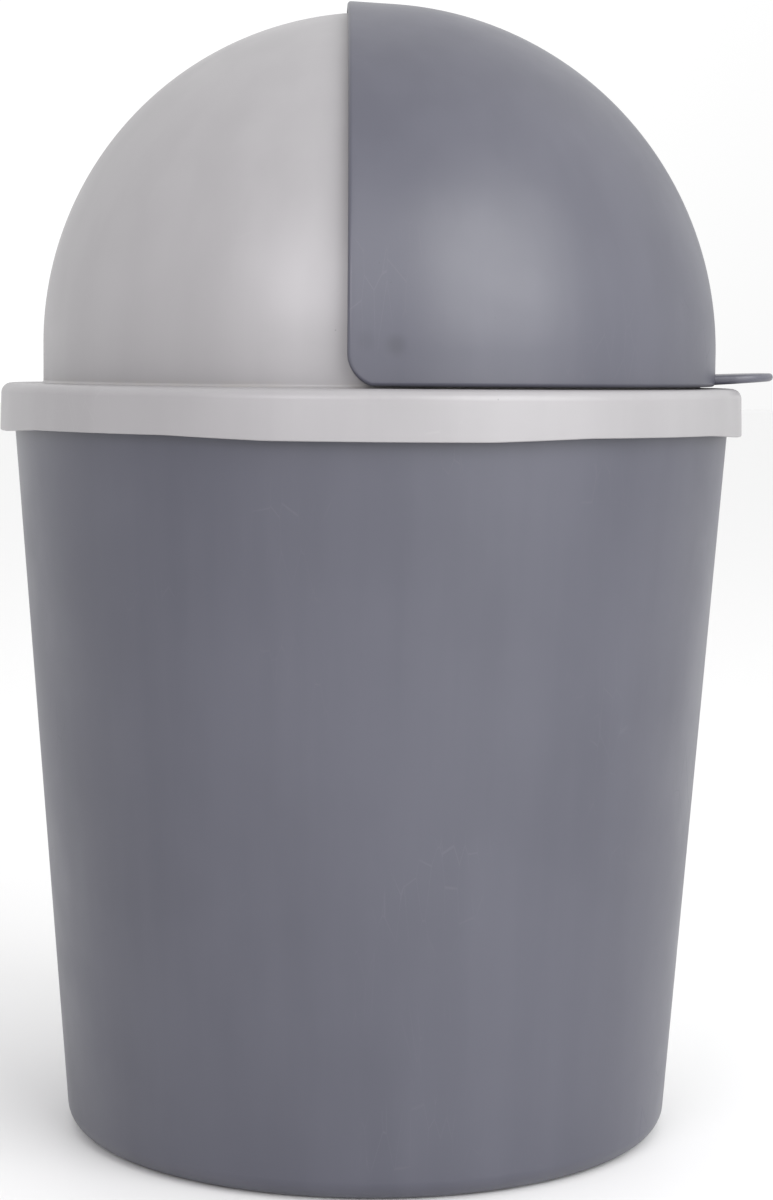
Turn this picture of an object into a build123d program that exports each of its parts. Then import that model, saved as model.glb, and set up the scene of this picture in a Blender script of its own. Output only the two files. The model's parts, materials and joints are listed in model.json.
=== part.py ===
from build123d import *
from math import asin, degrees, hypot, radians, sin, sqrt, tan
import os

# A tabletop swing top bin, moulded in three pieces: a tapered bucket, a lid whose collar drops over
# the bucket's rim and carries a fixed half dome, and an outer half dome that swings up and over it.
# Z is up, the origin is the centre of the foot ring on the table, and the mouth and push tab face +X.

# Bucket
bucket_height = 196.35
foot_cone_radius = 80.4
rim_cone_radius = 95.15
bucket_wall = 1.8
bucket_floor = 2.0
bottom_corner_radius = 6.0
foot_ring_width = 5.5
foot_ring_height = 1.5
foot_step_run = 2.0
bead_height = 3.6
bead_overhang = 0.35
bead_corner_radius = 0.5
bead_root_radius = 0.2
foot_corner_radius = 0.5
step_corner_radius = 1.0
gate_radius = 2.6
gate_height = 0.7

# Lid: the ledge, the collar and the ring that centres it in the bucket
seat_gap = 0.2
ledge_thickness = 1.8
ledge_width = 10.95
collar_gap = 0.7
collar_wall = 1.8
collar_depth = 11.45
collar_draft_angle = 1.5
collar_corner_radius = 2.6
apron_depth = 0.85
apron_half_angle = 16.0
apron_ramp_angle = 15.0
apron_count = 4
centring_gap = 0.3
centring_wall = 1.5
centring_depth = 6.0
centring_corner_radius = 0.5

# Lid: the fixed half dome
dome_rise = 10.45
pivot_rise = 8.7
dome_wall = 1.8
dome_root_radius = 0.8
arch_margin = 3.0
arch_rib_width = 3.4
arch_rib_depth = 1.2
mouth_curb_height = 5.0
mouth_corner_radius = 4.0
mouth_edge_radius = 0.5

# Swing flap
swing_gap = 0.45
flap_wall = 1.8
flap_edge_gap = 0.55
flap_back_lift = 0.75
flap_corner_start = 0.3
flap_corner_run = 5.7
flap_edge_radius = 1.0
flare_start = 4.8

# Push tab
tab_reach = 15.3
tab_width = 36.0
tab_root_thickness = 2.5
tab_tip_thickness = 2.06
tab_lift = 0.6
tab_slope_rise = 0.82
tab_corner_radius = 12.0
tab_edge_flat = 0.08

# Pivot stubs and their holes
stub_radius = 3.0
stub_running_gap = 0.05
stub_reach = 3.0
stub_tip_chamfer = 0.8
shoulder_width = 1.6
shoulder_gap = 0.3
boss_width = 3.0
boss_depth = 1.5

# Heights and radii that follow from the values above
collar_slope = tan(radians(collar_draft_angle))
bead_radius = rim_cone_radius + bead_overhang
ledge_underside = bucket_height + seat_gap
ledge_top = ledge_underside + ledge_thickness
collar_low = ledge_top - collar_depth
apron_low = collar_low - apron_depth
pivot_height = ledge_top + pivot_rise
dome_radius = bead_radius + collar_gap + collar_wall - ledge_width
dome_inner_radius = dome_radius - dome_wall
dome_centre_height = ledge_top + dome_rise
flap_inner_radius = dome_radius + dome_rise - pivot_rise + swing_gap
flap_radius = flap_inner_radius + flap_wall
flap_low = ledge_top + flap_edge_gap
flap_back = pivot_height - flap_low - flap_back_lift
hole_radius = stub_radius + stub_running_gap
boss_radius = hole_radius + boss_width
arch_front = boss_radius + arch_margin
curb_top = ledge_top + mouth_curb_height
tiny = 0.01
clear_of_all = 2 * flap_radius


def bucket_radius(height):
    """Outside radius of the bucket's cone at a height."""
    return foot_cone_radius + (rim_cone_radius - foot_cone_radius) * height / bucket_height


def bucket_inner_radius(height):
    return bucket_radius(height) - bucket_wall


def collar_inner_radius(height):
    """The collar clears the bucket's bead at the rim and widens downwards by its draft."""
    return bead_radius + collar_gap + collar_slope * (bucket_height - height)


def collar_radius(height):
    return collar_inner_radius(height) + collar_wall


def turned(outline):
    """A solid turned about the Z axis from an outline of radius and height."""
    return revolve(Plane.XZ * make_face(outline), Axis.Z)


def across(outline):
    """A prism right through the object along Y, from an outline of X and height."""
    return extrude(Plane.XZ * make_face(outline), clear_of_all, both=True)


def half_dome(outer, inner, low):
    """The fixed dome's form between two radii: a hemisphere with upright walls down to a height."""
    centre = dome_centre_height
    outside = CenterArc((0, centre), outer, 0, 90)
    crown = Line((0, centre + outer), (0, centre + inner))
    inside = CenterArc((0, centre), inner, 0, 90)
    wall = Polyline((inner, centre), (inner, low), (outer, low), (outer, centre))
    return turned(outside + crown + inside + wall)


def cross_rod(radius, near, far):
    """A rod on the pivot's axis, between two distances from the middle of the object, towards -Y."""
    start = Plane(origin=(0, -near, pivot_height), x_dir=(1, 0, 0), z_dir=(0, -1, 0))
    return extrude(start * Circle(radius), far - near)


def on_both_sides(solid):
    return [solid, mirror(solid, Plane.XZ)]


def with_round_edges(solid, on_edge, radius):
    """A solid with the edges rounded whose middle on_edge accepts."""
    return fillet([edge for edge in solid.edges() if on_edge(edge @ 0.5)], radius)


def make_bucket():
    ring_outer = foot_cone_radius - bottom_corner_radius
    ring_inner = ring_outer - foot_ring_width
    step_inner = ring_inner - foot_step_run
    floor_low = bucket_floor
    floor_high = foot_ring_height + bucket_floor
    bead_low = bucket_height - bead_height
    bead_root = bead_low - bead_overhang
    inner_corner = max(bottom_corner_radius - bucket_wall, bucket_wall / 2)
    section = [
        ((0, foot_ring_height), 0),
        ((step_inner, foot_ring_height), step_corner_radius),
        ((ring_inner, 0), foot_corner_radius),
        ((foot_cone_radius, 0), bottom_corner_radius),
        ((bucket_radius(bead_root), bead_root), bead_root_radius),
        ((bead_radius, bead_low), bead_root_radius),
        ((bead_radius, bucket_height), bead_corner_radius),
        ((bucket_inner_radius(bucket_height), bucket_height), bead_corner_radius),
        ((bucket_inner_radius(floor_low), floor_low), inner_corner),
        ((ring_inner - bucket_floor / 2, floor_low), foot_corner_radius),
        ((step_inner - bucket_floor / 2, floor_high), step_corner_radius),
        ((0, floor_high), 0),
    ]
    points = [point for point, corner in section]
    corners = [corner for point, corner in section]
    body = turned(FilletPolyline(*points, radius=corners, close=True))
    gate = Pos(0, 0, foot_ring_height) * Cylinder(
        gate_radius, gate_height, align=(Align.CENTER, Align.CENTER, Align.MAX)
    )
    return body + gate


def lid_body():
    """The collar, ledge, centring ring and whole dome, turned in one outline."""
    ring_low = ledge_underside - centring_depth
    ring_outer = bucket_inner_radius(ring_low) - centring_gap
    ring_inner = ring_outer - centring_wall
    section = [
        ((dome_radius, ledge_top), dome_root_radius),
        ((collar_radius(ledge_top), ledge_top), collar_corner_radius),
        ((collar_radius(apron_low), apron_low), 0),
        ((collar_inner_radius(apron_low), apron_low), 0),
        ((collar_inner_radius(ledge_underside), ledge_underside), bead_corner_radius + seat_gap),
        ((ring_outer, ledge_underside), 0),
        ((ring_outer, ring_low), centring_corner_radius),
        ((ring_inner, ring_low), centring_corner_radius),
        ((ring_inner, ledge_underside), centring_corner_radius),
        ((dome_inner_radius, ledge_underside), mouth_edge_radius),
    ]
    centre = dome_centre_height
    start = (dome_radius, centre)
    end = (dome_inner_radius, centre)
    points = [start] + [point for point, corner in section] + [end]
    corners = [corner for point, corner in section]
    below = FilletPolyline(*points, radius=corners)
    outside = CenterArc((0, centre), dome_radius, 0, 90)
    inside = CenterArc((0, centre), dome_inner_radius, 0, 90)
    crown = Line((0, centre + dome_inner_radius), (0, centre + dome_radius))
    return turned(below + outside + inside + crown)


def mouth_cut():
    """All of the dome ahead of the arch and above the curb."""
    corners = [
        (arch_front, curb_top),
        (clear_of_all, curb_top),
        (clear_of_all, pivot_height + clear_of_all),
        (arch_front, pivot_height + clear_of_all),
    ]
    return across(FilletPolyline(*corners, radius=[mouth_corner_radius, 0, 0, 0], close=True))


def arch_rib():
    """The thickened inner edge of the fixed half dome."""
    shell = half_dome(dome_radius - dome_wall / 2, dome_inner_radius - arch_rib_depth, ledge_underside)
    back = arch_front - arch_rib_width
    top = pivot_height + clear_of_all
    slab = across(Polyline((back, 0), (arch_front, 0), (arch_front, top), (back, top), close=True))
    return shell & slab


def apron_gap(azimuth):
    """A stretch between two aprons where the collar's lower edge is higher, with a ramp at each end."""
    pitch_half_angle = 180 / apron_count
    wide = collar_radius(apron_low) * sin(radians(pitch_half_angle - apron_half_angle))
    narrow = collar_radius(apron_low) * sin(radians(pitch_half_angle - apron_half_angle - apron_ramp_angle))
    outline = Polyline(
        (-narrow, collar_low),
        (narrow, collar_low),
        (wide, apron_low),
        (wide, apron_low - apron_depth),
        (-wide, apron_low - apron_depth),
        (-wide, apron_low),
        close=True,
    )
    outward = Vector(1, 0, 0).rotate(Axis.Z, azimuth)
    facing = Plane(origin=(0, 0, 0), x_dir=outward.rotate(Axis.Z, 90), z_dir=outward)
    return extrude(facing * make_face(outline), clear_of_all)


def at_mouth(point):
    """Whether a point lies on the outside edge of the mouth."""
    rise = max(point.Z - dome_centre_height, 0)
    outside = abs(sqrt(point.X**2 + point.Y**2 + rise**2) - dome_radius) < tiny
    return outside and point.X > arch_front - tiny and point.Z > curb_top - tiny


def make_lid():
    lid = with_round_edges(lid_body() - mouth_cut(), at_mouth, mouth_edge_radius)
    lid += arch_rib()
    boss = cross_rod(boss_radius, dome_inner_radius - boss_depth, dome_radius - dome_wall / 2)
    lid += on_both_sides(boss)
    lid -= on_both_sides(cross_rod(hole_radius, dome_inner_radius / 2, clear_of_all))
    for number in range(apron_count):
        lid -= apron_gap((number + 0.5) * 360 / apron_count)
    return lid


def flap_reach(x, radius):
    """Distance of a ball's skin from the X axis at an x. Behind flare_start it goes on straight."""
    start = flare_start * radius / flap_radius
    if x > start:
        return sqrt(radius**2 - x**2)
    slope = start / sqrt(radius**2 - start**2)
    return sqrt(radius**2 - start**2) + slope * (start - x)


def flap_plan():
    """One half of the flap's section at the pivot's height, from the back edge to the front."""
    front_angle = degrees(asin(flare_start / flap_radius))

    def back_end(radius):
        return (-flap_back, flap_reach(-flap_back, radius))

    def skin(radius):
        start = flare_start * radius / flap_radius
        flare = Line(back_end(radius), (start, flap_reach(start, radius)))
        return flare + CenterArc((0, 0), radius, 0, 90 - front_angle)

    front = Line((flap_inner_radius, 0), (flap_radius, 0))
    back = Line(back_end(flap_inner_radius), back_end(flap_radius))
    return make_face(skin(flap_radius) + front + skin(flap_inner_radius) + back)


def flap_shell():
    """The half ball turned about the X axis through the pivot, and its upright walls below."""
    plan = flap_plan()
    axis = Axis((0, 0, pivot_height), (1, 0, 0))
    dome = revolve(Pos(0, 0, pivot_height) * plan, axis, 180)
    walls = extrude(Pos(0, 0, flap_low) * plan, pivot_height - flap_low)
    return dome + on_both_sides(walls)


def flap_window():
    """The part of the outer dome that the flap keeps: inside its lower back corners."""
    corner_start = (-flap_back, pivot_height - flap_corner_start)
    corner_end = (-flap_back + flap_corner_run, flap_low)
    behind = -flap_back - flap_wall
    below = flap_low - flap_wall
    top = pivot_height + clear_of_all
    corner = TangentArc(corner_start, corner_end, tangent=(0, -1))
    ahead = [(corner_end[0], below), (clear_of_all, below), (clear_of_all, top)]
    back = [(behind, top), (behind, corner_start[1]), corner_start]
    return across(corner + Polyline(corner_end, *ahead, *back))


def at_flap_edge(point):
    """Whether a point lies on the flap's outside edge, behind or below."""
    rise = max(point.Z - pivot_height, 0)
    outside = abs(hypot(point.Y, rise) - flap_reach(point.X, flap_radius)) < tiny
    at_seam = abs(point.Z - pivot_height) < tiny
    return outside and not at_seam and (point.X < 0 or point.Z < flap_low + tiny)


def make_tab():
    """A tongue that thins towards its tip and slopes up a little, with its corners and edges rounded."""
    tip = flap_radius + tab_reach
    start = sqrt(flap_inner_radius**2 - (tab_width / 2) ** 2) - flap_wall
    root_low = flap_low + tab_lift
    root_middle = root_low + tab_root_thickness / 2

    def height(x, side):
        share = (x - flap_radius) / tab_reach
        middle = root_middle + tab_slope_rise * share
        thickness = tab_root_thickness + (tab_tip_thickness - tab_root_thickness) * share
        return middle + side * thickness / 2

    near = start - flap_wall
    far = tip + flap_wall
    underside = [(near, height(near, -1)), (far, height(far, -1))]
    topside = [(far, height(far, 1)), (near, height(near, 1))]
    wedge = across(Polyline(*underside, *topside, close=True))
    plan = FilletPolyline(
        (start, -tab_width / 2),
        (tip, -tab_width / 2),
        (tip, tab_width / 2),
        (start, tab_width / 2),
        radius=[0, tab_corner_radius, tab_corner_radius, 0],
        close=True,
    )
    column = extrude(Pos(0, 0, ledge_top) * make_face(plan), pivot_height - ledge_top)
    tab = wedge & column
    faces = tab.faces().sort_by(Axis.Z)
    rim = [edge for edge in faces[0].edges() + faces[-1].edges() if (edge @ 0.5).X > start + tiny]
    tab = fillet(rim, (tab_tip_thickness - tab_edge_flat) / 2)
    core = Cylinder(flap_inner_radius + flap_wall / 2, pivot_height - ledge_top)
    return tab - Pos(0, 0, (pivot_height + ledge_top) / 2) * core


def make_swing_flap():
    flap = with_round_edges(flap_shell() & flap_window(), at_flap_edge, flap_edge_radius)
    flap += make_tab()
    inner_face = sqrt(flap_inner_radius**2 - (stub_radius + shoulder_width) ** 2) + flap_wall / 2
    tip = dome_inner_radius - stub_reach
    stub = cross_rod(stub_radius, tip, inner_face)
    stub = chamfer(stub.edges().sort_by(Axis.Y)[-1], stub_tip_chamfer)
    shoulder = cross_rod(stub_radius + shoulder_width, dome_radius + shoulder_gap, inner_face)
    return flap + on_both_sides(stub + shoulder)


os.makedirs("parts", exist_ok=True)
export_step(make_bucket(), "parts/bucket.step")
export_step(make_lid(), "parts/lid.step")
export_step(make_swing_flap(), "parts/swing_flap.step")
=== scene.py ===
import json
from math import atan2, cos, hypot, radians, sin, sqrt, tan

import bmesh
import bpy
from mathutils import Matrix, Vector


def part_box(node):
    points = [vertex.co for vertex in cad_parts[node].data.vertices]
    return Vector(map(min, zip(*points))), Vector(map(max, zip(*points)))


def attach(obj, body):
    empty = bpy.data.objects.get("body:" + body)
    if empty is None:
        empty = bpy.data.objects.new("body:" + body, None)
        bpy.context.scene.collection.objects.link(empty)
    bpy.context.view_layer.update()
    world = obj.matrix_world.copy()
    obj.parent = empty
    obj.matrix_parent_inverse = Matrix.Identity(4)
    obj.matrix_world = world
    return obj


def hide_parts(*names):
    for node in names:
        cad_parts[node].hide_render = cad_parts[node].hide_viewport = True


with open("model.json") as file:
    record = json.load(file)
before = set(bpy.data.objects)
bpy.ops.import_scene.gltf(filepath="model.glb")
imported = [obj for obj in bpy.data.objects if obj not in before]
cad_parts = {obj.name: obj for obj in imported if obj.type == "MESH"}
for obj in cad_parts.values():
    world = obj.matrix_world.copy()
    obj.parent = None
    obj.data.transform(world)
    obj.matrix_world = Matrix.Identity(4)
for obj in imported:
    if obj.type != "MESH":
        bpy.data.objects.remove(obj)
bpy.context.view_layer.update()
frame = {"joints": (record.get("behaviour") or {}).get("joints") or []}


# The bucket: one injection moulding in dark grey polypropylene, tapered so that it draws off its
# core. It stands on a foot ring with the gate's scar in the middle of the recess, and a bead
# stiffens the rim that the lid drops over.
MM = 0.001
NEAR = 0.004 * MM
AROUND = 256
FOOT_CONE_RADIUS = 80.4 * MM
RIM_CONE_RADIUS = 95.15 * MM
RIM_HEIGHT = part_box("bucket")[1].z
BEAD_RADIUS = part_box("bucket")[1].x
BEAD_HEIGHT = 3.6 * MM
BEAD_UNDERSIDE_DROP = 0.35 * MM
BEAD_LOW = RIM_HEIGHT - BEAD_HEIGHT
BEAD_ROOT = BEAD_LOW - BEAD_UNDERSIDE_DROP
BUCKET_WALL = 1.8 * MM
FLOOR_LOW = 2.0 * MM
FLOOR_HIGH = 3.5 * MM
FOOT_RECESS = 1.5 * MM
FOOT_RING_INNER = 68.9 * MM
FOOT_STEP_INNER = 66.9 * MM
GATE_RADIUS = 2.6 * MM
GATE_LOW = 0.8 * MM
BOTTOM_RADIUS = 6.0 * MM
STEP_RADIUS = 1.0 * MM
EDGE_RADIUS = 0.5 * MM
ROOT_RADIUS = 0.2 * MM
ARC_STEP = radians(18)
SHARP_ANGLE = radians(40)


def make_active(piece):
    """Selects one piece alone, because an operator acts on all that is selected."""
    bpy.ops.object.select_all(action="DESELECT")
    piece.select_set(True)
    bpy.context.view_layer.objects.active = piece


def in_edit_mode(piece):
    make_active(piece)
    bpy.ops.object.mode_set(mode="EDIT")
    bpy.ops.mesh.select_mode(type="VERT")


def in_object_mode():
    bpy.ops.object.mode_set(mode="OBJECT")


def new_primitive(name, add, **options):
    """Adds a primitive by itself, names it and puts its place into its mesh."""
    bpy.ops.object.select_all(action="DESELECT")
    add(**options)
    piece = bpy.context.object
    piece.name = name
    bpy.ops.object.transform_apply(location=True, rotation=True, scale=True)
    return piece


def select_points(piece, test):
    """Selects the points whose place passes the test, and the edges and faces between them."""
    mesh = bmesh.from_edit_mesh(piece.data)
    for point in mesh.verts:
        point.select = test(point.co)
    mesh.select_flush_mode()
    bmesh.update_edit_mesh(piece.data)


def on_ring(radius, height):
    return lambda place: abs(hypot(place.x, place.y) - radius) < NEAR and abs(place.z - height) < NEAR


def draw_out_ring(start, end):
    """Extrudes the selected ring from one radius and height to the next."""
    bpy.ops.mesh.extrude_edges_move(TRANSFORM_OT_translate={"value": (0, 0, end[1] - start[1])})
    share = end[0] / start[0]
    bpy.ops.transform.resize(value=(share, share, 1), center_override=(0, 0, end[1]))


def round_corners(piece, section):
    """Bevels the rings at the corners of a section of (radius, height, rounding) to true radii."""
    for before, corner, after in zip(section, section[1:], section[2:]):
        if corner[2]:
            inward = Vector(corner[:2]) - Vector(before[:2])
            outward = Vector(after[:2]) - Vector(corner[:2])
            turn = inward.angle(outward)
            steps = max(3, round(turn / ARC_STEP) + round(corner[2] / MM))
            select_points(piece, on_ring(*corner[:2]))
            bpy.ops.mesh.bevel(offset=corner[2] * tan(turn / 2), segments=steps, affect="EDGES")


def close_up(piece):
    """Merges what meets and turns all faces outwards."""
    bpy.ops.mesh.select_all(action="SELECT")
    bpy.ops.mesh.remove_doubles(threshold=NEAR)
    bpy.ops.mesh.normals_make_consistent(inside=False)


def apply_modifier(piece, kind, **settings):
    make_active(piece)
    modifier = piece.modifiers.new(kind.lower(), kind)
    for setting, value in settings.items():
        setattr(modifier, setting, value)
    bpy.ops.object.modifier_apply(modifier=modifier.name)


def smooth_skin(piece):
    """Smooth shading with sharp edges kept, and normals that favour the large faces."""
    make_active(piece)
    bpy.ops.object.shade_smooth_by_angle(angle=SHARP_ANGLE)
    apply_modifier(piece, "WEIGHTED_NORMAL", keep_sharp=True)


def bucket_radius(height):
    return FOOT_CONE_RADIUS + (RIM_CONE_RADIUS - FOOT_CONE_RADIUS) * height / RIM_HEIGHT


bucket_section = [
    (0, GATE_LOW, 0),
    (GATE_RADIUS, GATE_LOW, ROOT_RADIUS),
    (GATE_RADIUS, FOOT_RECESS, 0),
    (FOOT_STEP_INNER, FOOT_RECESS, STEP_RADIUS),
    (FOOT_RING_INNER, 0, EDGE_RADIUS),
    (FOOT_CONE_RADIUS, 0, BOTTOM_RADIUS),
    (bucket_radius(BEAD_ROOT), BEAD_ROOT, ROOT_RADIUS),
    (BEAD_RADIUS, BEAD_LOW, ROOT_RADIUS),
    (BEAD_RADIUS, RIM_HEIGHT, EDGE_RADIUS),
    (RIM_CONE_RADIUS - BUCKET_WALL, RIM_HEIGHT, EDGE_RADIUS),
    (bucket_radius(FLOOR_LOW) - BUCKET_WALL, FLOOR_LOW, BOTTOM_RADIUS - BUCKET_WALL),
    (FOOT_RING_INNER - FLOOR_LOW / 2, FLOOR_LOW, EDGE_RADIUS),
    (FOOT_STEP_INNER - FLOOR_LOW / 2, FLOOR_HIGH, STEP_RADIUS),
    (0, FLOOR_HIGH, 0),
]
bucket = new_primitive(
    "bucket_moulding",
    bpy.ops.mesh.primitive_circle_add,
    vertices=AROUND,
    radius=GATE_RADIUS,
    location=(0, 0, GATE_LOW),
    fill_type="TRIFAN",
)
in_edit_mode(bucket)
select_points(bucket, on_ring(GATE_RADIUS, GATE_LOW))
for start, end in zip(bucket_section[1:-2], bucket_section[2:-1]):
    draw_out_ring(start, end)
bpy.ops.mesh.extrude_edges_move(TRANSFORM_OT_translate={"value": (0, 0, 0)})
bpy.ops.mesh.merge(type="CENTER")
close_up(bucket)
round_corners(bucket, bucket_section)
in_object_mode()
smooth_skin(bucket)
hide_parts("bucket")
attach(bucket, "bucket")


GLOSS = 0.7
SCUFF_STRENGTH = 0.08
SCUFF_ROUGHNESS = 0.12
SPECK_STRENGTH = 0.3
SPECK_COLOUR = (0.03, 0.03, 0.035)


def add_node(material, kind, inputs, **settings):
    """Adds a shader node, sets or links its inputs, and gives its first output."""
    tree = material.node_tree
    node = tree.nodes.new("ShaderNode" + kind)
    for setting, value in settings.items():
        setattr(node, setting, value)
    for socket, value in inputs.items():
        if isinstance(value, bpy.types.NodeSocket):
            tree.links.new(value, node.inputs[socket])
        else:
            node.inputs[socket].default_value = value
    return node.outputs[0]


def object_place(material):
    return add_node(material, "TexCoord", {}).node.outputs["Object"]


def ramp(material, value, low, high, start=0.0, end=1.0):
    """Carries a value smoothly from start, where it is low, to end, where it is high."""
    limits = {"Value": value, "From Min": low, "From Max": high, "To Min": start, "To Max": end}
    return add_node(material, "MapRange", limits, interpolation_type="SMOOTHSTEP")


def product(material, first, second):
    return add_node(material, "Math", {0: first, 1: second}, operation="MULTIPLY")


def total(material, first, second):
    return add_node(material, "Math", {0: first, 1: second}, operation="ADD")


def blend(material, share, first, second):
    """Mixes two colours, each a socket or three numbers."""
    first, second = (
        tone if isinstance(tone, bpy.types.NodeSocket) else (*tone, 1) for tone in (first, second)
    )
    return add_node(material, "MixRGB", {"Fac": share, "Color1": first, "Color2": second})


def noise(material, place, scale, detail=2.0):
    return add_node(material, "TexNoise", {"Vector": place, "Scale": scale, "Detail": detail})


def patches(material, place, scale, detail, thin, dense, low=0.35, high=0.65):
    """Noise spread between two strengths, thin where it is low and dense where it is high."""
    return ramp(material, noise(material, place, scale, detail), low, high, thin, dense)


def stretched(material, place, scale, turn=(0, 0, 0)):
    """Turns and scales the place that a pattern reads."""
    return add_node(material, "Mapping", {"Vector": place, "Rotation": turn, "Scale": scale})


def relief(material, height, distance, strength=1.0, under=None, **settings):
    """A bump of a stated depth, laid over another one where that is given."""
    inputs = {"Height": height, "Strength": strength, "Distance": distance}
    if under:
        inputs["Normal"] = under
    return add_node(material, "Bump", inputs, **settings)


def moulded_plastic(name, deep, pale, scuffed):
    """Satin polypropylene with faint flow streaks and clouding, hairline scuffs, rubbed patches and a
    few specks. Gives the material with its colour, roughness and normal, for a piece's own marks."""
    material = bpy.data.materials.new(name)
    material.use_nodes = True
    place = object_place(material)
    along_flow = stretched(material, place, scale=(75, 75, 6))
    streaks = patches(material, along_flow, scale=1.0, detail=4.0, thin=0.0, dense=0.45)
    clouds = patches(material, place, scale=16.0, detail=3.0, thin=0.0, dense=0.55)
    colour = blend(material, total(material, streaks, clouds), deep, pale)

    across_wall = stretched(material, place, scale=(300, 30, 55), turn=(0.6, 0.35, 0.2))
    cells = {"Vector": across_wall, "Scale": 1.0}
    borders = add_node(material, "TexVoronoi", cells, feature="DISTANCE_TO_EDGE")
    hairlines = ramp(material, borders, 0.0, 0.018, start=1.0, end=0.0)
    rubbed = patches(material, place, scale=38.0, detail=2.0, thin=0.0, dense=1.0, low=0.56, high=0.68)
    scuffs = product(material, hairlines, rubbed)
    colour = blend(material, product(material, scuffs, SCUFF_STRENGTH), colour, scuffed)

    dots = add_node(material, "TexVoronoi", {"Vector": place, "Scale": 190.0})
    sparse = patches(material, place, scale=85.0, detail=1.0, thin=0.0, dense=1.0, low=0.62, high=0.66)
    specks = product(material, ramp(material, dots, 0.03, 0.05, start=1.0, end=0.0), sparse)
    colour = blend(material, product(material, specks, SPECK_STRENGTH), colour, SPECK_COLOUR)

    handling = patches(material, place, scale=24.0, detail=5.0, thin=0.35, dense=0.43)
    roughness = total(material, handling, product(material, scuffs, SCUFF_ROUGHNESS))
    skin = relief(material, noise(material, place, scale=170.0), 0.04 * MM, strength=0.5)
    grain = relief(material, noise(material, place, scale=2200.0), 0.012 * MM, strength=0.5, under=skin)
    return material, colour, roughness, grain


def finish_plastic(piece, material, colour, roughness, normal):
    shader = material.node_tree.nodes["Principled BSDF"]
    shader.inputs["Specular IOR Level"].default_value = GLOSS
    for socket, source in (("Base Color", colour), ("Roughness", roughness), ("Normal", normal)):
        material.node_tree.links.new(source, shader.inputs[socket])
    piece.data.materials.append(material)


def distance_from(material, place, middle=(0, 0, 0), axes=(1, 1, 1)):
    """Distance from a point, measured along the axes that are given as 1."""
    place = add_node(material, "VectorMath", {0: place, 1: axes}, operation="MULTIPLY")
    measure = add_node(material, "VectorMath", {0: place, 1: middle}, operation="DISTANCE")
    return measure.node.outputs["Value"]


# The dark grey carries a little blue. The foot ring is rubbed pale by the table, and the resin has
# left a faint blush round the gate's scar.
DEEP_GREY = (0.051, 0.052, 0.072)
PALE_GREY = (0.063, 0.064, 0.086)
SCUFFED_GREY = (0.24, 0.24, 0.27)
FOOT_WEAR_TOP = 1.2 * MM
GATE_BLUSH_RADIUS = 26 * MM

plastic, colour, roughness, normal = moulded_plastic("bucket_plastic", DEEP_GREY, PALE_GREY, SCUFFED_GREY)
place = object_place(plastic)
height = add_node(plastic, "SeparateXYZ", {"Vector": place}).node.outputs["Z"]
foot_wear = product(
    plastic,
    ramp(plastic, height, 0.1 * MM, FOOT_WEAR_TOP, start=1.0, end=0.0),
    patches(plastic, place, scale=130.0, detail=4.0, thin=0.15, dense=0.6, low=0.4, high=0.6),
)
colour = blend(plastic, foot_wear, colour, SCUFFED_GREY)
roughness = total(plastic, roughness, product(plastic, foot_wear, 0.2))
from_gate = distance_from(plastic, place)
blush = ramp(plastic, from_gate, GATE_RADIUS + 0.4 * MM, GATE_BLUSH_RADIUS, start=0.22, end=0.0)
colour = blend(plastic, blush, colour, SCUFFED_GREY)
finish_plastic(bucket, plastic, colour, roughness, normal)


# The lid: one moulding in light grey polypropylene. Its collar drops over the bucket's rim, with a
# centring ring inside it, and a flat ledge runs in to the fixed half dome behind the mouth. Inside,
# a boss thickens the dome round each pivot hole and a rib stiffens the edge of the arch.
PIVOT = Vector(next(joint["pos_m"] for joint in frame["joints"] if joint["name"] == "flap_swing"))
LID_AROUND = 264
PIVOT_RISE = 8.7 * MM
LEDGE_TOP = PIVOT.z - PIVOT_RISE
DOME_RISE = 10.45 * MM
DOME_CENTRE = Vector((0, 0, LEDGE_TOP + DOME_RISE))
DOME_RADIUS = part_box("lid")[1].z - DOME_CENTRE.z
DOME_WALL = 1.8 * MM
DOME_INNER = DOME_RADIUS - DOME_WALL
DOME_ROOT_RADIUS = 0.8 * MM
MID_WALL = DOME_RADIUS - DOME_WALL / 2
LEDGE_THICKNESS = 1.8 * MM
LEDGE_UNDERSIDE = LEDGE_TOP - LEDGE_THICKNESS
COLLAR_DEPTH = 11.45 * MM
COLLAR_LOW = LEDGE_TOP - COLLAR_DEPTH
COLLAR_WALL = 1.8 * MM
COLLAR_GAP = 0.7 * MM
COLLAR_SLOPE = tan(radians(1.5))
COLLAR_CORNER_RADIUS = 2.6 * MM
COLLAR_INNER_RADIUS = 0.7 * MM
COLLAR_EDGE_RADIUS = 0.3 * MM
APRON_DEPTH = 0.85 * MM
APRON_LOW = COLLAR_LOW - APRON_DEPTH
APRON_HALF_ANGLE = radians(16)
APRON_RAMP_ANGLE = radians(15)
RING_DEPTH = 6.0 * MM
RING_GAP = 0.3 * MM
RING_WALL = 1.5 * MM
RING_LOW = LEDGE_UNDERSIDE - RING_DEPTH
RING_OUTER = bucket_radius(RING_LOW) - BUCKET_WALL - RING_GAP
RING_INNER = RING_OUTER - RING_WALL
ARCH_FRONT = 9.05 * MM
ARCH_RIB_WIDTH = 3.4 * MM
ARCH_RIB_DEPTH = 1.2 * MM
ARCH_RIB_LIFT = 0.5 * MM
CURB_HEIGHT = 5.0 * MM
CURB_TOP = LEDGE_TOP + CURB_HEIGHT
MOUTH_CORNER_RADIUS = 4.0 * MM
HOLE_RADIUS = 3.05 * MM
BOSS_RADIUS = 6.05 * MM
BOSS_DEPTH = 1.5 * MM
ROD_AROUND = 96
# FAR reaches past everything, and CLOSE is how far a mesh's flats stray from a true round.
FAR = 0.2
CLOSE = 0.03 * MM


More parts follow.
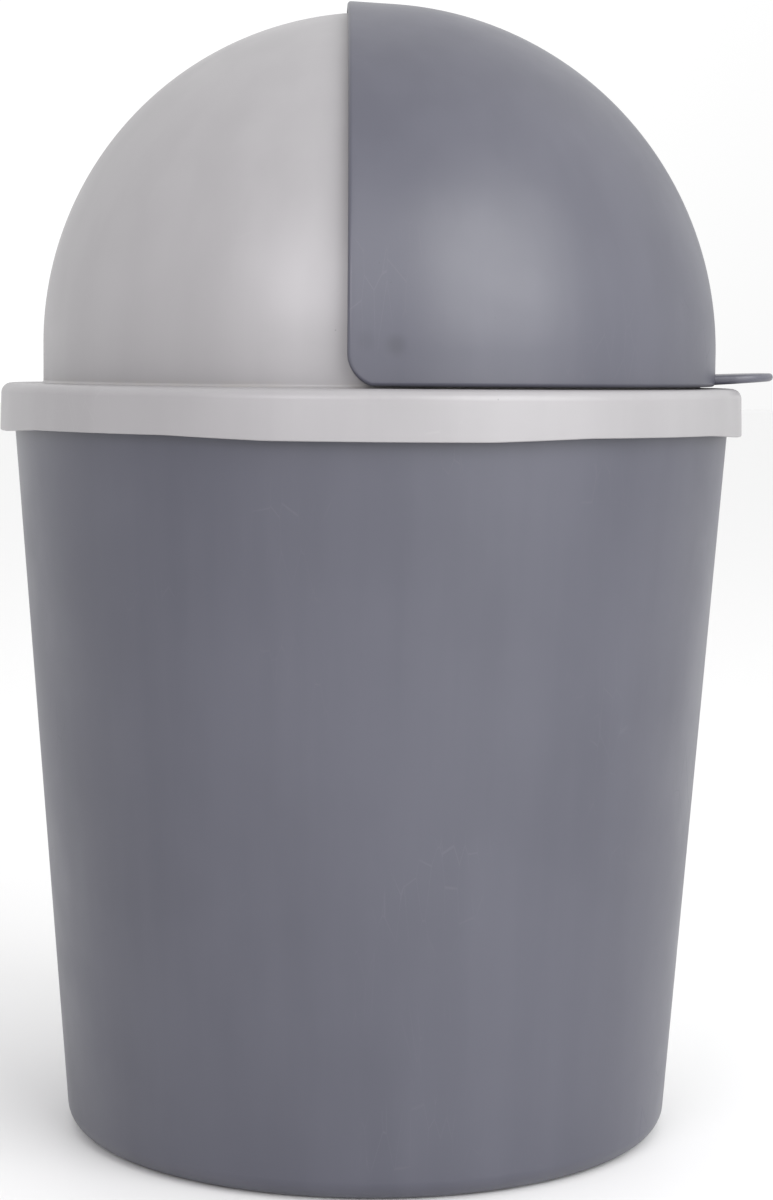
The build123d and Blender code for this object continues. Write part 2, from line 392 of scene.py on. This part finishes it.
def collar_inner(height):
    return BEAD_RADIUS + COLLAR_GAP + COLLAR_SLOPE * (RIM_HEIGHT - height)


def half_ball(name, centre, radius, around):
    """The upper half of a ball's skin. Its poles lie along X, so that its rings run the way the mouth
    and the flap are cut."""
    ball = new_primitive(
        name,
        bpy.ops.mesh.primitive_uv_sphere_add,
        segments=around,
        ring_count=around // 2,
        radius=radius,
        location=centre,
        rotation=(0, radians(90), 0),
    )
    in_edit_mode(ball)
    select_points(ball, lambda place: place.z < centre.z - NEAR)
    bpy.ops.mesh.delete(type="VERT")
    in_object_mode()
    return ball


def dome_moulding(name, centre, section, around):
    """A closed dome: its outside, a section drawn down and back up inside, and its inside."""
    piece = half_ball(name, centre, section[0][0], around)
    inside = half_ball("inside", centre, section[-1][0], around)
    in_edit_mode(piece)
    select_points(piece, on_ring(*section[0][:2]))
    for start, end in zip(section, section[1:]):
        draw_out_ring(start, end)
    in_object_mode()
    inside.select_set(True)
    bpy.ops.object.join()
    in_edit_mode(piece)
    close_up(piece)
    round_corners(piece, section)
    return piece


def cut_through(piece, normal, place):
    """Cuts a closed shape with a plane, drops what lies on the normal's side and closes the cut."""
    bpy.ops.mesh.select_all(action="SELECT")
    bpy.ops.mesh.bisect(
        plane_co=place, plane_no=normal, clear_outer=True, use_fill=True, threshold=NEAR / 4
    )


def combine(piece, other, operation):
    """Joins another closed shape to a piece, or cuts it away, and drops the other."""
    apply_modifier(piece, "BOOLEAN", object=other, operation=operation, solver="EXACT")
    bpy.data.objects.remove(other)


def cross_rod(radius, near, far, side, chamfer=0):
    """A rod on the pivot's axis, between two distances from the middle, with its inner end chamfered."""
    rod = new_primitive(
        "rod",
        bpy.ops.mesh.primitive_cylinder_add,
        vertices=ROD_AROUND,
        radius=radius,
        depth=far - near,
        location=(0, side * (near + far) / 2, PIVOT.z),
        rotation=(radians(90), radians(180) / ROD_AROUND, 0),
    )
    if chamfer:
        in_edit_mode(rod)
        select_points(rod, lambda place: abs(abs(place.y) - near) < NEAR)
        bpy.ops.mesh.bevel(offset=chamfer, segments=1, affect="EDGES")
        in_object_mode()
    return rod


lid_section = [
    (DOME_RADIUS, DOME_CENTRE.z, 0),
    (DOME_RADIUS, LEDGE_TOP, DOME_ROOT_RADIUS),
    (collar_inner(LEDGE_TOP) + COLLAR_WALL, LEDGE_TOP, COLLAR_CORNER_RADIUS),
    (collar_inner(APRON_LOW) + COLLAR_WALL, APRON_LOW, 0),
    (collar_inner(APRON_LOW), APRON_LOW, 0),
    (collar_inner(LEDGE_UNDERSIDE), LEDGE_UNDERSIDE, COLLAR_INNER_RADIUS),
    (RING_OUTER, LEDGE_UNDERSIDE, 0),
    (RING_OUTER, RING_LOW, EDGE_RADIUS),
    (RING_INNER, RING_LOW, EDGE_RADIUS),
    (RING_INNER, LEDGE_UNDERSIDE, EDGE_RADIUS),
    (DOME_INNER, LEDGE_UNDERSIDE, EDGE_RADIUS),
    (DOME_INNER, DOME_CENTRE.z, 0),
]
lid = dome_moulding("lid_moulding", DOME_CENTRE, lid_section, LID_AROUND)


def rise_between_aprons(place):
    """The collar's edge is higher between the four shallow aprons, which face the four quarters."""
    quarter = radians(90)
    away = abs((atan2(place.y, place.x) + quarter / 2) % quarter - quarter / 2)
    return APRON_DEPTH * min(max((away - APRON_HALF_ANGLE) / APRON_RAMP_ANGLE, 0), 1)


def lift_collar_edge(level):
    """Lifts the points of the collar's lower edge that belong at one level above the aprons."""
    select_points(
        lid,
        lambda place: abs(place.z - APRON_LOW) < NEAR
        and abs(rise_between_aprons(place) - level) < NEAR,
    )
    bpy.ops.transform.translate(value=(0, 0, level))


for number in range(LID_AROUND // 8 + 1):
    azimuth = radians(360) * number / LID_AROUND
    ramp_level = rise_between_aprons(Vector((cos(azimuth), sin(azimuth), 0)))
    if 0 < ramp_level < APRON_DEPTH:
        lift_collar_edge(ramp_level)
lift_collar_edge(APRON_DEPTH)
for wall in (COLLAR_WALL, 0):
    select_points(
        lid,
        lambda place: abs(place.z - APRON_LOW - rise_between_aprons(place)) < NEAR
        and abs(hypot(place.x, place.y) - collar_inner(APRON_LOW) - wall) < NEAR,
    )
    bpy.ops.mesh.bevel(offset=COLLAR_EDGE_RADIUS, segments=3, affect="EDGES")
in_object_mode()

mouth = new_primitive(
    "mouth",
    bpy.ops.mesh.primitive_cube_add,
    size=1,
    scale=(FAR, 2 * FAR, FAR),
    location=(ARCH_FRONT + FAR / 2, 0, CURB_TOP + FAR / 2),
)
in_edit_mode(mouth)
select_points(mouth, lambda place: place.x < ARCH_FRONT + NEAR and place.z < CURB_TOP + NEAR)
bpy.ops.mesh.bevel(offset=MOUTH_CORNER_RADIUS, segments=12, affect="EDGES")
in_object_mode()
combine(lid, mouth, "DIFFERENCE")


def dome_distance(place, centre):
    """Distance from the middle of a dome, or from the Z axis where its walls are upright."""
    return hypot(place.x, place.y, max(place.z - centre.z, 0))


def round_rim(piece, on_rim, radius, steps):
    """Rounds the edge of a cut through a dome."""
    in_edit_mode(piece)
    select_points(piece, on_rim)
    bpy.ops.mesh.bevel(offset=radius, segments=steps, affect="EDGES", loop_slide=False)
    in_object_mode()


def on_mouth_rim(place):
    """The outside edge of the mouth: up the arch, round its lower corners and along the curb."""
    if abs(dome_distance(place, DOME_CENTRE) - DOME_RADIUS) > CLOSE:
        return False
    from_arch = place.x - ARCH_FRONT
    from_curb = place.z - CURB_TOP
    if from_arch > MOUTH_CORNER_RADIUS - NEAR:
        return abs(from_curb) < NEAR
    if from_curb > MOUTH_CORNER_RADIUS - NEAR:
        return abs(from_arch) < NEAR
    from_centre = hypot(from_arch - MOUTH_CORNER_RADIUS, from_curb - MOUTH_CORNER_RADIUS)
    return abs(from_centre - MOUTH_CORNER_RADIUS) < CLOSE


round_rim(lid, on_mouth_rim, EDGE_RADIUS, steps=4)

# The rib ends inside the ledge, clear of its underside, so that the two shapes join cleanly.
rib_inner = DOME_INNER - ARCH_RIB_DEPTH
rib_low = LEDGE_UNDERSIDE + ARCH_RIB_LIFT
rib_section = [
    (MID_WALL, DOME_CENTRE.z, 0),
    (MID_WALL, rib_low, 0),
    (rib_inner, rib_low, 0),
    (rib_inner, DOME_CENTRE.z, 0),
]
rib = dome_moulding("rib", DOME_CENTRE, rib_section, LID_AROUND)
cut_through(rib, (1, 0, 0), (ARCH_FRONT, 0, 0))
cut_through(rib, (-1, 0, 0), (ARCH_FRONT - ARCH_RIB_WIDTH, 0, 0))
in_object_mode()
combine(lid, rib, "UNION")
for side in (-1, 1):
    combine(lid, cross_rod(BOSS_RADIUS, DOME_INNER - BOSS_DEPTH, MID_WALL, side), "UNION")
    combine(lid, cross_rod(HOLE_RADIUS, DOME_INNER / 2, FAR, side), "DIFFERENCE")
smooth_skin(lid)
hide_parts("lid")
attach(lid, "lid")

# The light grey is near neutral. Dust settles in the corner between the ledge and the dome, and
# the flap's stubs have rubbed a dull ring round each pivot hole.
DEEP_LID_GREY = (0.258, 0.251, 0.258)
PALE_LID_GREY = (0.284, 0.276, 0.284)
SCUFFED_LID_GREY = (0.5, 0.49, 0.5)
DUST = (0.27, 0.255, 0.24)
RUBBED_LID_GREY = (0.3, 0.29, 0.3)

plastic, colour, roughness, normal = moulded_plastic(
    "lid_plastic", DEEP_LID_GREY, PALE_LID_GREY, SCUFFED_LID_GREY
)
place = object_place(plastic)
height = add_node(plastic, "SeparateXYZ", {"Vector": place}).node.outputs["Z"]
from_axis = distance_from(plastic, place, axes=(1, 1, 0))
in_corner = product(
    plastic,
    ramp(plastic, from_axis, DOME_RADIUS + 0.2 * MM, DOME_RADIUS + 2.6 * MM, start=1.0, end=0.0),
    ramp(plastic, height, LEDGE_TOP + 0.2 * MM, LEDGE_TOP + 2.0 * MM, start=1.0, end=0.0),
)
settled = patches(plastic, place, scale=240.0, detail=3.0, thin=0.1, dense=0.5)
colour = blend(plastic, product(plastic, in_corner, settled), colour, DUST)
from_pivot = distance_from(plastic, place, PIVOT, axes=(1, 0, 1))
hole_wear = ramp(
    plastic, from_pivot, HOLE_RADIUS + 1.0 * MM, HOLE_RADIUS + 2.4 * MM, start=0.4, end=0.0
)
colour = blend(plastic, hole_wear, colour, RUBBED_LID_GREY)
roughness = total(plastic, roughness, product(plastic, hole_wear, 0.25))
finish_plastic(lid, plastic, colour, roughness, normal)


# The swing flap: an outer half dome in the bucket's dark grey plastic, with a push tab at its lower
# front edge. Two stubs inside it snap into the lid's pivot holes, and it swings up and back over
# the fixed half dome.
FLAP_AROUND = 224
FLAP_RADIUS = 91.05 * MM
FLAP_WALL = 1.8 * MM
FLAP_INNER = FLAP_RADIUS - FLAP_WALL
FLAP_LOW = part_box("swing_flap")[0].z
FLAP_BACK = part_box("swing_flap")[0].x
FLAP_CORNER_START = PIVOT.z - 0.3 * MM
FLAP_CORNER_RUN = 5.7 * MM
FLAP_CORNER_CUTS = 14
FLAP_EDGE_RADIUS = 1.0 * MM
FLARE_START = 4.8 * MM
TAB_WIDTH = 36.0 * MM
TAB_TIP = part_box("swing_flap")[1].x
TAB_REACH = TAB_TIP - FLAP_RADIUS
TAB_ROOT_THICKNESS = 2.5 * MM
TAB_TIP_THICKNESS = 2.06 * MM
TAB_LIFT = 0.6 * MM
TAB_SLOPE_RISE = 0.82 * MM
TAB_CORNER_RADIUS = 12.0 * MM
TAB_EDGE_RADIUS = 0.99 * MM
STUB_RADIUS = 3.0 * MM
STUB_PAST_WALL = 3.0 * MM
STUB_TIP = DOME_INNER - STUB_PAST_WALL
STUB_CHAMFER = 0.8 * MM
SHOULDER_RADIUS = 4.6 * MM
SHOULDER_GAP = 0.3 * MM
SHOULDER_END = DOME_RADIUS + SHOULDER_GAP
# The shoulders and the stubs are rooted inside the flap's wall, at two depths.
SHOULDER_ROOT = FLAP_INNER + 0.8 * MM
STUB_ROOT = FLAP_INNER + 0.6 * MM

flap_section = [
    (FLAP_RADIUS, PIVOT.z, 0),
    (FLAP_RADIUS, FLAP_LOW, 0),
    (FLAP_INNER, FLAP_LOW, 0),
    (FLAP_INNER, PIVOT.z, 0),
]
flap = dome_moulding("swing_flap_moulding", PIVOT, flap_section, FLAP_AROUND)


def flap_reach(x, radius):
    """Distance of a skin from the X axis at an x. Behind the start of the flare it goes on straight."""
    start = FLARE_START * radius / FLAP_RADIUS
    if x > start:
        return sqrt(radius**2 - x**2)
    side = sqrt(radius**2 - start**2)
    return side + (start - x) * start / side


# The rings are drawn out to a little past the back edge, where the plane then cuts.
past_back = FLAP_BACK - 6 * MM
for skin in (FLAP_RADIUS, FLAP_INNER):
    for number in range(FLAP_AROUND // 2):
        ring_x = skin * cos(radians(360) * number / FLAP_AROUND)
        if past_back < ring_x < FLARE_START:
            share = flap_reach(ring_x, skin) / sqrt(skin**2 - ring_x**2)
            for above in (True, False):
                select_points(
                    flap,
                    lambda place: abs(place.x - ring_x) < NEAR
                    and abs(dome_distance(place, PIVOT) - skin) < CLOSE
                    and (place.z > PIVOT.z - NEAR) == above,
                )
                bpy.ops.transform.resize(
                    value=(1, share, share if above else 1), center_override=(ring_x, 0, PIVOT.z)
                )
cut_through(flap, (-1, 0, 0), (FLAP_BACK, 0, 0))

# The arc touches the back edge and ends on the lower edge, where it leaves a slight point.
drop = FLAP_CORNER_START - FLAP_LOW
corner_radius = (FLAP_CORNER_RUN**2 + drop**2) / (2 * FLAP_CORNER_RUN)
corner_turn = atan2(drop, corner_radius - FLAP_CORNER_RUN)
corner_centre = Vector((FLAP_BACK + corner_radius, 0, FLAP_CORNER_START))
for number in range(FLAP_CORNER_CUTS):
    turn = corner_turn * (number + 0.5) / FLAP_CORNER_CUTS
    normal = Vector((-cos(turn), 0, -sin(turn)))
    cut_through(flap, normal, corner_centre + corner_radius * normal)
in_object_mode()


def on_flap_rim(place):
    """The outside edge of the flap: along the back, round the lower corners and along the bottom."""
    reach = hypot(place.y, max(place.z - PIVOT.z, 0))
    if abs(reach - flap_reach(place.x, FLAP_RADIUS)) > CLOSE:
        return False
    if place.x < FLAP_BACK + FLAP_CORNER_RUN and place.z < FLAP_CORNER_START:
        return hypot(place.x - corner_centre.x, place.z - corner_centre.z) > corner_radius - CLOSE
    return abs(place.x - FLAP_BACK) < NEAR or abs(place.z - FLAP_LOW) < NEAR


round_rim(flap, on_flap_rim, FLAP_EDGE_RADIUS, steps=6)

tab_start = sqrt(FLAP_INNER**2 - (TAB_WIDTH / 2) ** 2) - FLAP_WALL
tab = new_primitive(
    "tab",
    bpy.ops.mesh.primitive_cube_add,
    size=1,
    scale=(TAB_TIP - tab_start, TAB_WIDTH, TAB_TIP_THICKNESS),
    location=((TAB_TIP + tab_start) / 2, 0, 0),
)
in_edit_mode(tab)


def tab_height(x, side):
    """Height of the tab's top (side 1) or underside (side -1) at an x."""
    share = (x - FLAP_RADIUS) / TAB_REACH
    middle = FLAP_LOW + TAB_LIFT + TAB_ROOT_THICKNESS / 2 + TAB_SLOPE_RISE * share
    thickness = TAB_ROOT_THICKNESS + (TAB_TIP_THICKNESS - TAB_ROOT_THICKNESS) * share
    return middle + side * thickness / 2


def select_edges_ahead(piece, start):
    """Of the selected edges, keeps those whose middle lies ahead of a place on X."""
    bpy.ops.mesh.select_mode(type="EDGE")
    mesh = bmesh.from_edit_mesh(piece.data)
    for edge in mesh.edges:
        middle = (edge.verts[0].co + edge.verts[1].co) / 2
        edge.select = edge.select and middle.x > start
    mesh.select_flush_mode()
    bmesh.update_edit_mesh(piece.data)


for end in (tab_start, TAB_TIP):
    for side in (-1, 1):
        flat = side * TAB_TIP_THICKNESS / 2
        select_points(
            tab, lambda place: abs(place.x - end) < NEAR and abs(place.z - flat) < NEAR
        )
        bpy.ops.transform.translate(value=(0, 0, tab_height(end, side) - flat))
for side in (-1, 1):
    select_points(tab, lambda place: place.x > TAB_TIP - NEAR and place.y * side > 0)
    bpy.ops.mesh.bevel(offset=TAB_CORNER_RADIUS, segments=24, affect="EDGES")
for side in (-1, 1):
    select_points(tab, lambda place: abs(place.z - tab_height(place.x, side)) < NEAR)
    select_edges_ahead(tab, tab_start + NEAR)
    bpy.ops.mesh.bevel(offset=TAB_EDGE_RADIUS, segments=6, affect="EDGES", loop_slide=False)
    bpy.ops.mesh.select_mode(type="VERT")
in_object_mode()
core = new_primitive(
    "core",
    bpy.ops.mesh.primitive_cylinder_add,
    vertices=FLAP_AROUND,
    radius=FLAP_INNER + FLAP_WALL / 2,
    depth=FAR,
    location=(0, 0, FLAP_LOW),
)
combine(tab, core, "DIFFERENCE")
combine(flap, tab, "UNION")
for side in (-1, 1):
    combine(flap, cross_rod(SHOULDER_RADIUS, SHOULDER_END, SHOULDER_ROOT, side), "UNION")
    combine(flap, cross_rod(STUB_RADIUS, STUB_TIP, STUB_ROOT, side, STUB_CHAMFER), "UNION")
smooth_skin(flap)
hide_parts("swing_flap")
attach(flap, "swing_flap")

# The same dark grey as the bucket's. The outside sinks a little beside each stub, where the
# plastic behind it is thick, and each sink mark is also painted darker as painted shade.
# Fingers have polished the top of the tab.
# Each sink mark is its place ahead of the pivot, its rise above it and its strength.
SINK_MARKS = ((3.75 * MM, 1.2 * MM, 1.0), (-3.25 * MM, 2.2 * MM, 0.45))
SINK_RADIUS = 3.6 * MM
SINK_DEPTH = 0.06 * MM
PAINTED_SINK_SHADE = (0.03, 0.03, 0.04)

plastic, colour, roughness, normal = moulded_plastic("flap_plastic", DEEP_GREY, PALE_GREY, SCUFFED_GREY)
place = object_place(plastic)
sinks = 0.0
for sink_x, sink_rise, strength in SINK_MARKS:
    middle = (sink_x, 0, PIVOT.z + sink_rise)
    away = distance_from(plastic, place, middle, axes=(1, 0, 1))
    sinks = total(plastic, ramp(plastic, away, 0.3 * MM, SINK_RADIUS, start=strength, end=0.0), sinks)
# Painted shade: the colour is darkened over each sink mark, on top of the dent that the relief makes.
colour = blend(plastic, product(plastic, sinks, 0.42), colour, PAINTED_SINK_SHADE)
normal = relief(plastic, sinks, SINK_DEPTH, under=normal, invert=True)
ahead = add_node(plastic, "SeparateXYZ", {"Vector": place}).node.outputs["X"]
polish = product(
    plastic,
    ramp(plastic, ahead, FLAP_RADIUS + 1 * MM, TAB_TIP - 2 * MM),
    patches(plastic, place, scale=90.0, detail=3.0, thin=0.3, dense=1.0, low=0.4, high=0.6),
)
roughness = total(plastic, roughness, product(plastic, polish, -0.09))
colour = blend(plastic, product(plastic, polish, 0.12), colour, SCUFFED_GREY)
finish_plastic(flap, plastic, colour, roughness, normal)


# The floor: a plain matt surface in a pale grey, which stands for the table. It isn't part of the
# bin, and it is wide enough to fill the view from every side.
FLOOR_RADIUS = 12
FLOOR_GREY = (0.78, 0.78, 0.78)

floor = new_primitive(
    "floor",
    bpy.ops.mesh.primitive_circle_add,
    vertices=64,
    radius=FLOOR_RADIUS,
    fill_type="NGON",
)
floor_material = bpy.data.materials.new("pale_floor")
floor_material.use_nodes = True
floor_shader = floor_material.node_tree.nodes["Principled BSDF"]
floor_shader.inputs["Base Color"].default_value = (*FLOOR_GREY, 1)
floor_shader.inputs["Roughness"].default_value = 0.6
floor.data.materials.append(floor_material)

# The light: a pale room that is brightest to the right of the camera and pale behind the bin, with
# a large soft box on the right and a weaker one on the left. Their soft reflections show on the
# flap and on the fixed dome. Each bright side is the way that it lies and its strength.
ROOM_LIGHT = 0.46
BRIGHT_SIDES = (((0.85, -0.45, 0.25), 1.05), ((-0.5, 0.7, 0.5), 0.62))

world = bpy.data.worlds.new("studio")
world.use_nodes = True
direction = add_node(world, "TexCoord", {}).node.outputs["Generated"]
room = ROOM_LIGHT
for towards, strength in BRIGHT_SIDES:
    dot = add_node(world, "VectorMath", {0: direction, 1: towards}, operation="DOT_PRODUCT")
    facing = dot.node.outputs["Value"]
    room = total(world, ramp(world, facing, low=-0.1, high=0.9, end=strength), room)
background = world.node_tree.nodes["Background"]
background.inputs["Color"].default_value = (1, 1, 1, 1)
world.node_tree.links.new(room, background.inputs["Strength"])
bpy.context.scene.world = world


def soft_box(name, azimuth, elevation, distance, size, power, colour=(1, 1, 1)):
    """A square area light that faces the bin's middle, placed round it from the camera's side."""
    aim = Vector((0, 0, 170 * MM))
    turn, tilt = radians(azimuth), radians(elevation)
    away = Vector((sin(turn) * cos(tilt), -cos(turn) * cos(tilt), sin(tilt)))
    lamp = bpy.data.lights.new(name, "AREA")
    lamp.size = size
    lamp.energy = power
    lamp.color = colour
    light = bpy.data.objects.new(name, lamp)
    light.location = aim + distance * away
    light.rotation_euler = away.to_track_quat("Z", "Y").to_euler()
    bpy.context.collection.objects.link(light)


soft_box("key_light", azimuth=40, elevation=26, distance=1.6, size=1.3, power=18)
soft_box(
    "fill_light", azimuth=-24, elevation=22, distance=1.6, size=0.7, power=8, colour=(1, 0.96, 1)
)
bpy.context.scene.view_settings.view_transform = "Standard"

# The camera: about level with the flap's pivot, tilted a little down and square on to the flap's
# back edge, as in the photograph.
camera_data = bpy.data.cameras.new("camera")
camera_data.sensor_width = 36
camera_data.lens = 79.84
camera = bpy.data.objects.new("camera", camera_data)
camera.location = (-12.45 * MM, -713.56 * MM, 204.4 * MM)
camera.rotation_euler = (radians(84.906), radians(-0.536), radians(-1.310))
bpy.context.collection.objects.link(camera)
bpy.context.scene.camera = camera
